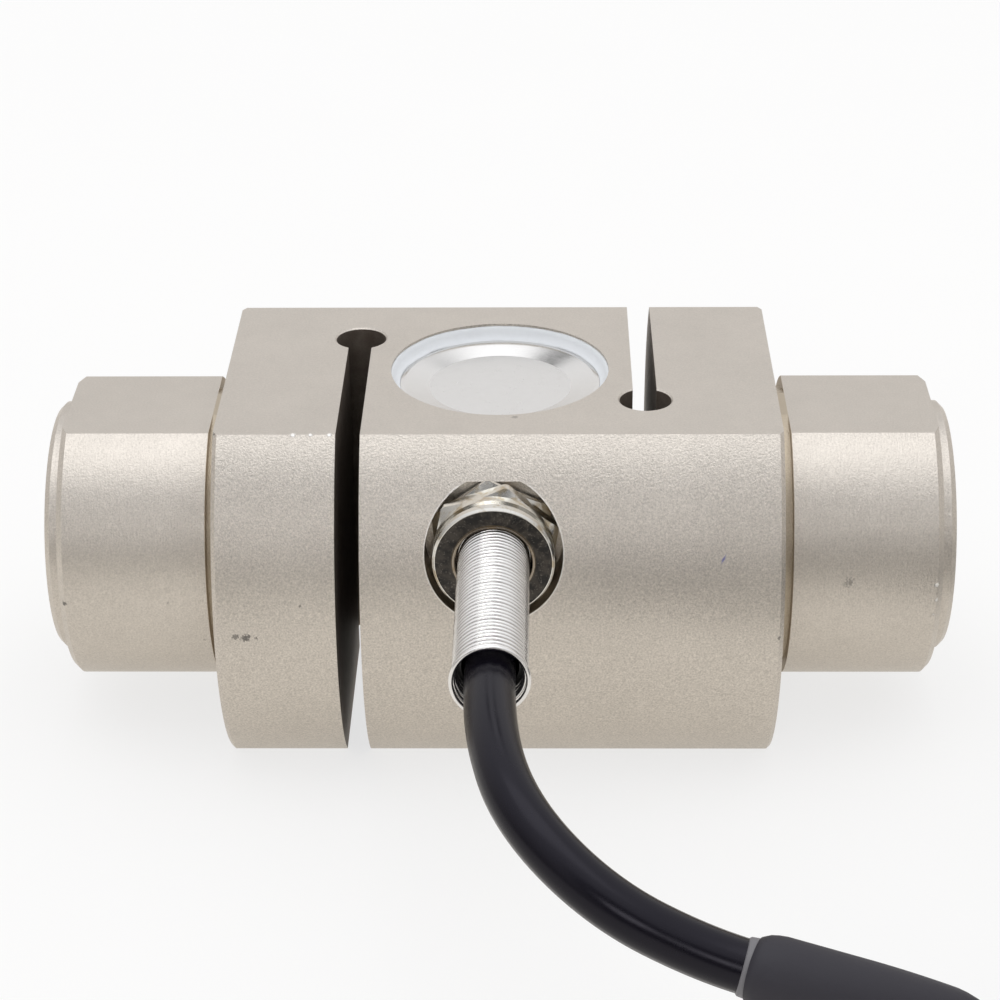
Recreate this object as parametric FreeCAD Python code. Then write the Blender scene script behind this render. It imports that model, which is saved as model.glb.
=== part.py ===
"""S-type load cell with a round body, two tapped bosses and a spring-guarded cable.

Millimetres, +Z up. The cell lies on its lower flat: the origin is the centre of
that flat, X is the loading axis and the cable gland points along -Y.
"""
import FreeCAD
import Part
import math
import os
from FreeCAD import Vector

X_AXIS = Vector(1, 0, 0)
Y_AXIS = Vector(0, 1, 0)
Z_AXIS = Vector(0, 0, 1)

# ---- Body: one turned, milled and slotted piece of steel --------------------------
body_length = 72.0
body_radius = 30.8
body_across_flats = 46.8
body_edge_chamfer = 0.55
neck_width = 2.0
neck_radius = 18.4
boss_length = 19.4
boss_radius = 20.15
boss_across_flats = 36.2
boss_end_chamfer = 0.8
pilot_radius = 16.8
pilot_height = 2.1
pilot_chamfer = 0.7

# ---- Tapped holes, drawn at the thread's major diameter ---------------------------
thread_radius = 12.0
thread_length = 24.0
thread_mouth_chamfer = 0.8
tap_drill_radius = 10.95
tap_drill_runout = 3.0
drill_point_half_angle = 59.0

# ---- Slots that leave the S, each ending in a relief hole --------------------------
slot_width = 3.1
slot_offset = 18.92
relief_radius = 3.35
relief_offset = 9.7
relief_chamfer = 0.2

# ---- Gauge pockets either side of the sensing web ----------------------------------
web_thickness = 5.0
cover_bore_radius = 14.4
cover_seat_depth = 5.0
pocket_radius = 12.6
wire_hole_radius = 1.6
wire_hole_offset = 10.4

# ---- Covers: dished caps, each with a skirt that stands on the bore's step ---------
cover_radius = 13.5
cover_thickness = 0.8
cover_rim_depth = 2.0
cover_rim_width = 0.5
cover_dish_radius = 9.4
cover_dish_depth = 0.55
cover_rim_round = 0.3
sealant_top_depth = 0.3

# ---- Strain gauges and wiring inside ------------------------------------------------
gauge_length = 9.0
gauge_width = 6.4
gauge_thickness = 0.15
terminal_length = 7.0
terminal_width = 2.4
terminal_thickness = 0.6
terminal_gap = 1.0
board_pad_length = 9.0
board_pad_thickness = 1.4
board_length = 12.0
board_width = 7.5
board_thickness = 1.0
board_offset = 6.4
resistor_length = 2.0
resistor_width = 1.2
resistor_height = 0.55
resistor_pitch = 2.6
resistor_count = 4
inner_lead_radius = 0.55
inner_lead_pitch = 1.3
inner_lead_count = 4
bridge_wire_radius = 0.3
bridge_wire_pitch = 0.9
wire_bend_radius = 1.6

# ---- Cable gland in its round recess ------------------------------------------------
gland_depth = 12.5
gland_sideways = -0.5
recess_radius = 8.7
recess_depth = 6.5
gland_thread_radius = 6.0
gland_inner_overhang = 1.2
washer_radius = 7.4
washer_thickness = 0.4
hex_across_flats = 15.0
hex_corner_radius = 8.5
hex_corner_chamfer = 0.7
hex_face_radius = 7.4
hex_turn = 16.3
gland_hex_length = 1.0
gland_hex_angle = 35.3
nut_hex_length = 1.9
nut_collar_length = 3.3
nut_collar_radius = 7.65
nut_groove_depth = 0.25
nut_edge_chamfer = 0.25
nut_lip_length = 1.3
nut_lip_width = 0.25
gland_neck_radius = 5.6
gland_neck_length = 2.9
gland_bore_clearance = 0.2
grommet_radius = 4.7
grommet_length = 4.2
face_ring_radius = 7.3
face_ring_thickness = 0.6
face_ring_setback = 0.15

# ---- Spring guard and the sleeve that lines it --------------------------------------
spring_outer_radius = 4.5
spring_wire = 0.6
spring_turns = 36
spring_pitch = 0.8
turns_per_ridge = 2
spring_groove = 0.3
spring_flange_radius = 5.3
spring_flange_length = 0.9
spring_hole_radius = 4.9
spring_mouth_flare = 0.25
liner_thickness = 0.5
liner_setback = 4.0

# ---- Cable --------------------------------------------------------------------------
cable_radius = 3.0
sleeve_thickness = 1.25
cable_end_inside = 9.0
corner_arc_share = 0.45

# Route of the free cable after the spring's mouth, corner by corner.
cable_corners = [
    Vector(-0.5, -70.0, 34.3),
    Vector(2.8, -82.4, 31.7),
    Vector(11.8, -90.6, 26.3),
    Vector(23.4, -91.6, 20.1),
    Vector(34.1, -87.5, 13.2),
    Vector(46.2, -85.7, 8.0),
    Vector(58.1, -86.5, 3.1),
]
sleeve_start_index = 5
sleeve_end_index = 6

# ---- Stored coil of the cable -------------------------------------------------------
coil_centre = Vector(125.0, -60.0, 0.0)
coil_mean_radius = 36.0
coil_turns_wide = 4
coil_turns_high = 3
coil_entry_angle = -114.0
coil_entry_length = 25.0
coil_approach_length = 14.0
coil_edge_chamfer = 2.0
tie_thickness = 0.5
tie_width = 4.0
tie_clearance = 0.3
tie_angles = (60.0, 200.0)
tail_start_angle = -60.0
tail_end_angle = -2.0
end_sleeve_thickness = 0.5
end_sleeve_start_angle = -14.0
end_sleeve_end_angle = 6.0
lead_radius = 0.65
lead_names = ("lead_red", "lead_black", "lead_green", "lead_white", "shield_drain")
lead_pitch = 1.6
lead_bundle_radius = 1.6
lead_bundle_angles = (162.0, 234.0, 90.0, 306.0, 34.0)
lead_straight_length = 5.5
lead_landing_angle = 17.0
lead_strip_angle = 30.0
lead_end_angle = 38.0
lead_strip_radius = 0.4

# ---- Derived places -----------------------------------------------------------------
axis_height = body_across_flats / 2
load_axis = Vector(0, 0, axis_height)
half_body = body_length / 2
boss_inner = half_body + neck_width
boss_end = boss_inner + boss_length
half_length = boss_end + pilot_height
gland_axis = Vector(gland_sideways, 0, body_across_flats - gland_depth)
recess_floor = body_radius - recess_depth
hex_start = recess_floor + washer_thickness
nut_start = hex_start + gland_hex_length
collar_start = nut_start + nut_hex_length
nut_face = collar_start + nut_collar_length
neck_end = nut_start + gland_neck_length
lip_start = nut_face - nut_lip_length
spring_mouth = nut_face - face_ring_setback + spring_turns * spring_pitch
liner_outer_radius = spring_outer_radius - spring_wire
web_top = web_thickness / 2
tiny = 0.01


def turned(profile, centre, along):
    """Revolve (distance along the axis, radius) points about the axis."""
    across = X_AXIS if abs(along.z) > 0.5 else Z_AXIS
    points = [centre + along * distance + across * radius for distance, radius in profile]
    face = Part.Face(Part.makePolygon(points + points[:1]))
    solid = face.revolve(centre, along, 360)
    if solid.Volume < 0:
        solid.reverse()
    return solid


def ring(start, end, inner, outer, centre, along):
    """A plain ring between two radii."""
    return turned([(start, inner), (start, outer), (end, outer), (end, inner)], centre, along)


def rod(start, end, radius, centre, along):
    """A plain rod along an axis."""
    return Part.makeCylinder(radius, end - start, centre + along * start, along)


def slab(length, width, height, centre_x, centre_y, bottom):
    """A box placed by the centre of its base."""
    corner = Vector(centre_x - length / 2, centre_y - width / 2, bottom)
    return Part.makeBox(length, width, height, corner)


def mirrored_below(shape):
    """The same piece in the lower pocket."""
    return shape.mirror(load_axis, Z_AXIS)


def corner_arcs(points):
    """Straight runs joined by tangent arcs that are as large as the runs allow."""
    edges = []
    radii = []
    start = points[0]
    for before, corner, after in zip(points, points[1:], points[2:]):
        run_in = corner - before
        run_out = after - corner
        tangent = corner_arc_share * min(run_in.Length, run_out.Length)
        half_turn = run_in.getAngle(run_out) / 2
        radius = tangent / math.tan(half_turn)
        toward_in = Vector(run_in).normalize()
        toward_out = Vector(run_out).normalize()
        inward = (toward_out - toward_in).normalize()
        arc_start = corner - toward_in * tangent
        arc_end = corner + toward_out * tangent
        arc_middle = corner + inward * (radius / math.cos(half_turn) - radius)
        edges.append(Part.LineSegment(start, arc_start).toShape())
        edges.append(Part.Arc(arc_start, arc_middle, arc_end).toShape())
        radii.append(radius)
        start = arc_end
    edges.append(Part.LineSegment(start, points[-1]).toShape())
    return edges, radii


def swept(edges, radius):
    """A round bar along tangent edges."""
    path = Part.Wire(edges)
    first = edges[0]
    heading = first.tangentAt(first.FirstParameter)
    section = Part.Wire(Part.makeCircle(radius, first.valueAt(first.FirstParameter), heading))
    return path.makePipeShell([section], True, False)


# ---- Body ---------------------------------------------------------------------------
def body_blank():
    """The turned barrel with its two flats."""
    chamfer_start = half_body - body_edge_chamfer
    chamfer_radius = body_radius - body_edge_chamfer
    barrel = turned(
        [
            (-half_body, 0),
            (-half_body, chamfer_radius),
            (-chamfer_start, body_radius),
            (chamfer_start, body_radius),
            (half_body, chamfer_radius),
            (half_body, 0),
        ],
        load_axis,
        X_AXIS,
    )
    between_flats = slab(body_length, 2 * body_radius, body_across_flats, 0, 0, 0)
    return barrel.common(between_flats)


def boss(direction):
    """Neck, wrench-flatted boss and raised pilot face, turned in one with the body."""
    outer = turned(
        [
            (half_body - 1, 0),
            (half_body - 1, neck_radius),
            (boss_inner, neck_radius),
            (boss_inner, boss_radius),
            (boss_end - boss_end_chamfer, boss_radius),
            (boss_end, boss_radius - boss_end_chamfer),
            (boss_end, pilot_radius),
            (half_length - pilot_chamfer, pilot_radius),
            (half_length, pilot_radius - pilot_chamfer),
            (half_length, 0),
        ],
        load_axis,
        direction,
    )
    between_flats = slab(
        2 * half_length,
        2 * boss_radius,
        boss_across_flats,
        0,
        0,
        axis_height - boss_across_flats / 2,
    )
    return outer.common(between_flats)


def tapped_hole(direction):
    """Mouth chamfer, thread, tap-drill runout and drill point."""
    drill_end = half_length - thread_length - tap_drill_runout
    point_length = tap_drill_radius / math.tan(math.radians(drill_point_half_angle))
    return turned(
        [
            (half_length + 1, 0),
            (half_length + 1, thread_radius + thread_mouth_chamfer + 1),
            (half_length - thread_mouth_chamfer, thread_radius),
            (half_length - thread_length, thread_radius),
            (half_length - thread_length, tap_drill_radius),
            (drill_end, tap_drill_radius),
            (drill_end - point_length, 0),
        ],
        load_axis,
        direction,
    )


def slot_with_relief(side):
    """A slot right through in Z; side -1 opens to the front, +1 to the back."""
    reach = body_radius + 1
    end = -side * relief_offset
    low = min(side * reach, end)
    width = abs(side * reach - end)
    centre_x = side * slot_offset
    slot = slab(slot_width, width, body_across_flats + 2, centre_x, low + width / 2, -1)
    relief = turned(
        [
            (-1, 0),
            (-1, relief_radius + relief_chamfer + 1),
            (relief_chamfer, relief_radius),
            (body_across_flats - relief_chamfer, relief_radius),
            (body_across_flats + 1, relief_radius + relief_chamfer + 1),
            (body_across_flats + 1, 0),
        ],
        Vector(centre_x, end, 0),
        Z_AXIS,
    )
    return slot.fuse(relief)


def gauge_pocket():
    """Stepped bore from the upper flat down to the sensing web."""
    flat = axis_height
    step = flat - cover_seat_depth
    return turned(
        [
            (web_top, 0),
            (web_top, pocket_radius),
            (step, pocket_radius),
            (step, cover_bore_radius),
            (flat + 1, cover_bore_radius),
            (flat + 1, 0),
        ],
        load_axis,
        Z_AXIS,
    )


def gland_opening():
    """Round recess for the gland and the tapped hole on into the upper pocket."""
    recess = rod(recess_floor, body_radius + 1, recess_radius, gland_axis, -Y_AXIS)
    hole = rod(pocket_radius / 2, recess_floor + tiny, gland_thread_radius, gland_axis, -Y_AXIS)
    return recess.fuse(hole)


def make_body():
    shape = body_blank().fuse([boss(X_AXIS), boss(-X_AXIS)]).removeSplitter()
    wire_hole = rod(
        -web_thickness, web_thickness, wire_hole_radius,
        load_axis + Y_AXIS * wire_hole_offset, Z_AXIS,
    )
    cuts = [
        tapped_hole(X_AXIS),
        tapped_hole(-X_AXIS),
        slot_with_relief(-1),
        slot_with_relief(1),
        gauge_pocket(),
        mirrored_below(gauge_pocket()),
        gland_opening(),
        wire_hole,
    ]
    for cut in cuts:
        shape = shape.cut(cut)
    return shape.removeSplitter()


# ---- Covers -------------------------------------------------------------------------
def make_cover():
    """A dished cap: flat disc, sloping band, narrow rim and a skirt down to the step."""
    rim = axis_height - cover_rim_depth
    dish = rim - cover_dish_depth
    seat = axis_height - cover_seat_depth
    inner = cover_radius - cover_thickness
    slope_top = cover_radius - cover_rim_width - cover_rim_round
    return turned(
        [
            (dish, 0),
            (dish, cover_dish_radius),
            (rim, slope_top),
            (rim, cover_radius - cover_rim_round),
            (rim - cover_rim_round, cover_radius),
            (seat, cover_radius),
            (seat, inner),
            (rim - cover_thickness, inner),
            (dish - cover_thickness, cover_dish_radius + cover_thickness / 2),
            (dish - cover_thickness, 0),
        ],
        load_axis,
        Z_AXIS,
    )


def make_sealant():
    """Bead that fills the groove between skirt and bore and climbs the bore's wall."""
    seat = axis_height - cover_seat_depth
    rim = axis_height - cover_rim_depth
    return turned(
        [
            (seat, cover_radius),
            (seat, cover_bore_radius),
            (axis_height - sealant_top_depth, cover_bore_radius),
            (rim - cover_rim_round, cover_radius),
        ],
        load_axis,
        Z_AXIS,
    )


# ---- Gauges and wiring --------------------------------------------------------------
def make_gauge():
    """Shear gauge bonded to the middle of the web."""
    bottom = axis_height + web_top
    patch = slab(gauge_length, gauge_width, gauge_thickness, 0, 0, bottom)
    uprights = [edge for edge in patch.Edges if edge.BoundBox.ZLength > gauge_thickness / 2]
    return patch.makeFillet(gauge_width / 8, uprights)


def make_terminal_strip():
    """Solder terminals bonded in front of the gauge."""
    centre_y = -(gauge_width + terminal_width) / 2 - terminal_gap
    return slab(
        terminal_length, terminal_width, terminal_thickness, 0, centre_y, axis_height + web_top
    )


def board_bottom():
    return axis_height + web_top + board_pad_thickness


def board_top():
    return board_bottom() + board_thickness


def make_board_pad():
    """Foam pad that holds the small board clear of the web, behind the gauge."""
    width = board_width / 2
    return slab(board_pad_length, width, board_pad_thickness, 0, board_offset, axis_height + web_top)


def make_board():
    return slab(board_length, board_width, board_thickness, 0, board_offset, board_bottom())


def make_trim_resistors():
    """Balance and span resistors in a row on the board."""
    first = -(resistor_count - 1) / 2 * resistor_pitch
    places = [first + index * resistor_pitch for index in range(resistor_count)]
    chips = [
        slab(resistor_width, resistor_length, resistor_height, x, board_offset, board_top())
        for x in places
    ]
    return Part.makeCompound(chips)


def make_inner_leads():
    """The cable's four cores, from the stripped jacket down to the board."""
    start_y = -cable_end_inside
    landing_y = board_offset - board_width / 2 + inner_lead_radius * 2
    wires = []
    for index in range(inner_lead_count):
        side = gland_axis.x + (index - (inner_lead_count - 1) / 2) * inner_lead_pitch
        start = Vector(side, start_y, gland_axis.z)
        over = Vector(side, landing_y, gland_axis.z - wire_bend_radius)
        down = Vector(side, landing_y, board_top())
        edges, _ = corner_arcs([start, over, down])
        wires.append(swept(edges, inner_lead_radius))
    return Part.makeCompound(wires)


def make_bridge_wires():
    """Fine wires through the web that join the two gauges into one bridge."""
    reach = board_bottom() - axis_height
    wires = []
    for side_x in (-0.5, 0.5):
        for side_y in (-0.5, 0.5):
            x = side_x * bridge_wire_pitch
            y = wire_hole_offset + side_y * bridge_wire_pitch
            bottom = axis_height - web_top - terminal_thickness
            wires.append(
                Part.makeCylinder(
                    bridge_wire_radius, reach + axis_height - bottom, Vector(x, y, bottom)
                )
            )
    return Part.makeCompound(wires)


# ---- Gland --------------------------------------------------------------------------
def hexagon(start, end, angle):
    """Hexagon bar along the gland, its corners turned down and chamfered at both ends."""
    corner = hex_across_flats / 2 / math.cos(math.radians(30))
    points = []
    for index in range(6):
        turn = math.radians(angle + 60 * index)
        points.append(gland_axis + Vector(corner * math.cos(turn), -start, corner * math.sin(turn)))
    prism = Part.Face(Part.makePolygon(points + points[:1])).extrude(-Y_AXIS * (end - start))
    envelope = turned(
        [
            (start, 0),
            (start, hex_corner_radius),
            (end - hex_corner_chamfer, hex_corner_radius),
            (end, hex_face_radius),
            (end, 0),
        ],
        gland_axis,
        -Y_AXIS,
    )
    return prism.common(envelope)


def make_gland_washer():
    return ring(recess_floor, hex_start, gland_thread_radius, washer_radius, gland_axis, -Y_AXIS)


def make_gland_body():
    """Threaded spigot, hexagon and the short neck that the nut screws on to."""
    spigot_start = pocket_radius - gland_inner_overhang
    spigot = rod(spigot_start, hex_start, gland_thread_radius, gland_axis, -Y_AXIS)
    neck = rod(nut_start - tiny, neck_end, gland_neck_radius, gland_axis, -Y_AXIS)
    flats = hexagon(hex_start, nut_start, gland_hex_angle)
    bore = rod(
        spigot_start - 1, neck_end + 1, cable_radius + gland_bore_clearance, gland_axis, -Y_AXIS
    )
    seat = rod(neck_end - grommet_length, neck_end + 1, grommet_radius, gland_axis, -Y_AXIS)
    return flats.fuse([spigot, neck]).cut(bore).cut(seat).removeSplitter()


def make_gland_grommet():
    start = neck_end - grommet_length
    return ring(start, neck_end, cable_radius, grommet_radius, gland_axis, -Y_AXIS)


def make_gland_nut():
    """Compression nut: thin hexagon, grooved round collar and a lip that traps the spring."""
    middle = (collar_start + nut_face) / 2
    quarter = nut_collar_length / 6
    collar = turned(
        [
            (collar_start - tiny, 0),
            (collar_start - tiny, nut_collar_radius),
            (middle - quarter, nut_collar_radius),
            (middle - quarter, nut_collar_radius - nut_groove_depth),
            (middle + quarter, nut_collar_radius - nut_groove_depth),
            (middle + quarter, nut_collar_radius),
            (nut_face - nut_edge_chamfer, nut_collar_radius),
            (nut_face, nut_collar_radius - nut_edge_chamfer),
            (nut_face, 0),
        ],
        gland_axis,
        -Y_AXIS,
    )
    flats = hexagon(nut_start, collar_start, gland_hex_angle - hex_turn)
    thread = rod(nut_start - 1, lip_start, gland_neck_radius, gland_axis, -Y_AXIS)
    hole = rod(nut_start, nut_face + 1, spring_hole_radius, gland_axis, -Y_AXIS)
    ring_start = nut_face - face_ring_setback - face_ring_thickness
    lip_radius = spring_hole_radius + nut_lip_width
    seat = ring(ring_start, nut_face + 1, lip_radius, face_ring_radius, gland_axis, -Y_AXIS)
    shape = collar.fuse(flats)
    for cut in (thread, hole, seat):
        shape = shape.cut(cut)
    return shape.removeSplitter()


def make_face_ring():
    """Dark ring let into the nut's front face."""
    end = nut_face - face_ring_setback
    lip_radius = spring_hole_radius + nut_lip_width
    return ring(end - face_ring_thickness, end, lip_radius, face_ring_radius, gland_axis, -Y_AXIS)


def make_spring_guard():
    """Close-wound spring as one ridged tube: a trapped flange turn and a flared mouth."""
    crest = spring_outer_radius
    root = crest - spring_groove
    bore = crest - spring_wire
    turns_start = nut_face - face_ring_setback
    outline = [
        (lip_start - spring_flange_length, bore),
        (lip_start - spring_flange_length, spring_flange_radius),
        (lip_start, spring_flange_radius),
        (lip_start, root),
    ]
    ridge_pitch = spring_pitch * turns_per_ridge
    ridges = spring_turns // turns_per_ridge
    for index in range(ridges):
        start = turns_start + index * ridge_pitch
        flare = spring_mouth_flare if index == ridges - 1 else 0
        outline.append((start, root))
        outline.append((start + ridge_pitch / 2, crest + flare))
    outline.append((spring_mouth, root + spring_mouth_flare))
    outline.append((spring_mouth, bore))
    return turned(outline, gland_axis, -Y_AXIS)


def make_guard_liner():
    """Black sleeve that lines the spring."""
    inner = liner_outer_radius - liner_thickness
    liner_end = spring_mouth - liner_setback
    return ring(lip_start, liner_end, inner, liner_outer_radius, gland_axis, -Y_AXIS)


# ---- Cable --------------------------------------------------------------------------
def cable_exit():
    return gland_axis - Y_AXIS * spring_mouth


def make_cable_entry():
    """The hidden stretch from the stripped end in the pocket to the spring's mouth."""
    return rod(cable_end_inside, spring_mouth, cable_radius, gland_axis, -Y_AXIS)


def on_coil(radius, angle, height):
    turn = math.radians(angle)
    return coil_centre + Vector(radius * math.cos(turn), radius * math.sin(turn), height)


def coil_outer_turn():
    """Radius of the outermost turn's centre line."""
    return coil_mean_radius + (coil_turns_wide - 1) * cable_radius


def coil_bottom_turn():
    """Height of the lowest layer's centre line."""
    return tie_thickness + cable_radius


def coil_heading(angle):
    """Direction in which the coil is wound at an angle."""
    turn = math.radians(angle)
    return Vector(-math.sin(turn), math.cos(turn), 0)


def coil_lead_in():
    """Last corner of the free cable, its end, and where it meets the outermost turn."""
    heading = coil_heading(coil_entry_angle)
    touch = on_coil(coil_outer_turn(), coil_entry_angle, coil_bottom_turn())
    entry = touch - heading * coil_entry_length
    return entry - heading * coil_approach_length, entry, touch


def cable_edges():
    last_corner, entry, _ = coil_lead_in()
    return corner_arcs([cable_exit()] + cable_corners + [last_corner, entry])


def make_cable():
    """The free cable from the spring's mouth to the coil."""
    edges, radii = cable_edges()
    shape = swept(edges, cable_radius)
    length = sum(edge.Length for edge in edges)
    expected = math.pi * cable_radius**2 * length
    print("cable arc radii, mm:", [round(radius, 1) for radius in radii])
    print("cable run length %.1f mm, volume ratio %.5f" % (length, shape.Volume / expected))
    return shape


def make_cable_sleeve():
    """Thick shrink sleeve on the free cable."""
    edges, _ = cable_edges()
    covered = edges[2 * sleeve_start_index - 1 : 2 * sleeve_end_index]
    outer = swept(covered, cable_radius + sleeve_thickness)
    inner = swept(covered, cable_radius)
    return outer.cut(inner)


def make_cable_coil():
    """Outer shape of the wound coil, with the short straight lead-in to its outer turn."""
    inner = coil_mean_radius - coil_turns_wide * cable_radius
    outer = coil_mean_radius + coil_turns_wide * cable_radius
    height = coil_turns_high * 2 * cable_radius
    winding = ring(tie_thickness, tie_thickness + height, inner, outer, coil_centre, Z_AXIS)
    winding = winding.makeChamfer(coil_edge_chamfer, round_edges(winding))
    _, entry, touch = coil_lead_in()
    lead_in = Part.makeCylinder(cable_radius, coil_entry_length, entry, touch - entry)
    return winding.fuse(lead_in).removeSplitter()


def round_edges(shape):
    """The circular edges of a turned ring."""
    return [edge for edge in shape.Edges if isinstance(edge.Curve, Part.Circle)]


def make_coil_tie(angle):
    """A flat strap closed round the coil's section."""
    inner = coil_mean_radius - coil_turns_wide * cable_radius - tie_clearance
    outer = coil_mean_radius + coil_turns_wide * cable_radius
    height = coil_turns_high * 2 * cable_radius
    outside = Part.makeBox(
        outer - inner + 2 * tie_thickness,
        tie_width,
        height + 2 * tie_thickness,
        Vector(inner - tie_thickness, -tie_width / 2, 0),
    )
    opening = Part.makeBox(
        outer - inner, tie_width + 2, height, Vector(inner, -tie_width / 2 - 1, tie_thickness)
    )
    strap = outside.cut(opening)
    strap.rotate(Vector(0, 0, 0), Z_AXIS, angle)
    strap.translate(coil_centre)
    return strap


def coil_top():
    return tie_thickness + coil_turns_high * 2 * cable_radius


def tail_height():
    """The tail's centre line, with its end sleeve resting on the coil."""
    return coil_top() + cable_radius + end_sleeve_thickness


def arc_on_coil(radius, start_angle, end_angle, height):
    """One arc edge above the coil, turning the way that the coil is wound."""
    middle = (start_angle + end_angle) / 2
    points = [on_coil(radius, angle, height) for angle in (start_angle, middle, end_angle)]
    return Part.Arc(*points).toShape()


def make_cable_tail():
    """The cable's far end, lying on top of the coil."""
    edge = arc_on_coil(coil_mean_radius, tail_start_angle, tail_end_angle, tail_height())
    return swept([edge], cable_radius)


def make_end_sleeve():
    """Shrink sleeve over the end of the jacket and the start of the leads."""
    edge = arc_on_coil(
        coil_mean_radius, end_sleeve_start_angle, end_sleeve_end_angle, tail_height()
    )
    outer = swept([edge], cable_radius + end_sleeve_thickness)
    inner = swept([edge], cable_radius)
    return outer.cut(inner)


def make_lead(index):
    """One insulated core with a stripped tip, or the bare drain wire."""
    insulated = lead_names[index] != "shield_drain"
    thick = lead_radius if insulated else lead_strip_radius
    turn = math.radians(lead_bundle_angles[index])
    aside = lead_bundle_radius * math.cos(turn)
    up = lead_bundle_radius * math.sin(turn)
    spread = (index - (len(lead_names) - 1) / 2) * lead_pitch
    start = on_coil(coil_mean_radius + aside, tail_end_angle, tail_height() + up)
    sleeve_out = start + coil_heading(tail_end_angle) * lead_straight_length
    on_top = coil_top() + thick
    landing = on_coil(coil_mean_radius + spread, lead_landing_angle, on_top)
    strip = on_coil(coil_mean_radius + spread, lead_strip_angle, on_top)
    tip = on_coil(coil_mean_radius + spread, lead_end_angle, on_top)
    if not insulated:
        return swept(corner_arcs([start, sleeve_out, landing, tip])[0], thick)
    core = swept(corner_arcs([start, sleeve_out, landing, strip])[0], thick)
    bare = Part.makeCylinder(lead_strip_radius, (tip - strip).Length, strip, tip - strip)
    return core.fuse(bare)


# ---- Write every piece --------------------------------------------------------------
def build():
    top_cover = make_cover()
    top_sealant = make_sealant()
    gauge = make_gauge()
    terminals = make_terminal_strip()
    pieces = {
        "body": make_body(),
        "top_cover": top_cover,
        "bottom_cover": mirrored_below(top_cover),
        "top_sealant": top_sealant,
        "bottom_sealant": mirrored_below(top_sealant),
        "top_strain_gauge": gauge,
        "bottom_strain_gauge": mirrored_below(gauge),
        "top_terminal_strip": terminals,
        "bottom_terminal_strip": mirrored_below(terminals),
        "board_pad": make_board_pad(),
        "trim_board": make_board(),
        "trim_resistors": make_trim_resistors(),
        "inner_leads": make_inner_leads(),
        "bridge_wires": make_bridge_wires(),
        "gland_washer": make_gland_washer(),
        "gland_body": make_gland_body(),
        "gland_grommet": make_gland_grommet(),
        "gland_nut": make_gland_nut(),
        "gland_face_ring": make_face_ring(),
        "spring_guard": make_spring_guard(),
        "guard_liner": make_guard_liner(),
        "cable_entry": make_cable_entry(),
        "cable": make_cable(),
        "cable_sleeve": make_cable_sleeve(),
        "cable_coil": make_cable_coil(),
        "cable_tail": make_cable_tail(),
        "end_sleeve": make_end_sleeve(),
    }
    for index, angle in enumerate(tie_angles, start=1):
        pieces["coil_tie_%d" % index] = make_coil_tie(angle)
    for index, name in enumerate(lead_names):
        pieces[name] = make_lead(index)
    return pieces


def main():
    os.makedirs("parts", exist_ok=True)
    for name, shape in build().items():
        shape.exportStep("parts/%s.step" % name)
        print("%-22s solids %d  volume %10.2f mm3" % (name, len(shape.Solids), shape.Volume))


main()
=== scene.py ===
# %% [markdown]
# A load cell of the S type, turned round, lying on its flat with its signal cable leading off to a
# stored coil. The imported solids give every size. This script dresses them: it builds the pieces that
# a solid can't show well, such as the spring and the cable, and gives each surface its finish.
# One could model the whole cell again here, but then two models would have to agree, so the solids
# that already have the right shape are kept.

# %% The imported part
import math

import bmesh
import bpy
from mathutils import Matrix, Vector, noise


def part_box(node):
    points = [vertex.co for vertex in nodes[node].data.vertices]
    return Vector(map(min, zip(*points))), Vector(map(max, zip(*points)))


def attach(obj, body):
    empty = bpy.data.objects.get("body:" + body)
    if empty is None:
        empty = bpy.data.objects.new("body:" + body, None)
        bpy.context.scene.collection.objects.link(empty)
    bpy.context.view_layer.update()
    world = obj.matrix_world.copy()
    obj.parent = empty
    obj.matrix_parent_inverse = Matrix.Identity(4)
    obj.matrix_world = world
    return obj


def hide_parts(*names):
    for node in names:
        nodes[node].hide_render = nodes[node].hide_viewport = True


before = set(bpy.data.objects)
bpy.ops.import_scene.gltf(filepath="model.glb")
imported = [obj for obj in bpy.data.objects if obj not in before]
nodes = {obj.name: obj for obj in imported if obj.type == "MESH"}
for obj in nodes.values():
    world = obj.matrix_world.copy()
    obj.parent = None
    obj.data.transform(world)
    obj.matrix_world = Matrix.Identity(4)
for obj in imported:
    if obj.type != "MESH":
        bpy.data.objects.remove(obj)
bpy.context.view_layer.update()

print("nodes in the frame:", len(nodes))

# %% [markdown]
# Sizes are easier to read in millimetres, and Blender works in metres, so one constant turns one into
# the other. Every place below comes from a node's own box or is a size of the real part.

# %% Sizes
MM = 0.001


def span(node, axis):
    """Lowest and highest place of a node along an axis, in millimetres."""
    low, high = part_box(node)
    return low[axis] / MM, high[axis] / MM


body_top = span("body", 2)[1]
axis_height = body_top / 2
half_length = span("body", 0)[1]
gland_sideways = sum(span("gland_face_ring", 0)) / 2
gland_height = sum(span("gland_face_ring", 2)) / 2
spring_mouth = span("spring_guard", 1)[0]
print("flat to flat %.1f mm, overall %.1f mm" % (body_top, 2 * half_length))

# %% [markdown]
# The camera looks down at the cell from the front. A long lens keeps the barrel's ends nearly
# parallel. The camera could be aimed by a constraint, but a matrix built from a place, a direction
# and a small roll says everything in three values.

# %% Camera
camera_place = Vector((5.298, -320.77, 194.48)) * MM
looking = Vector((-0.015025, 0.886397, -0.462685))
camera_roll = math.radians(-0.4924)

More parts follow.
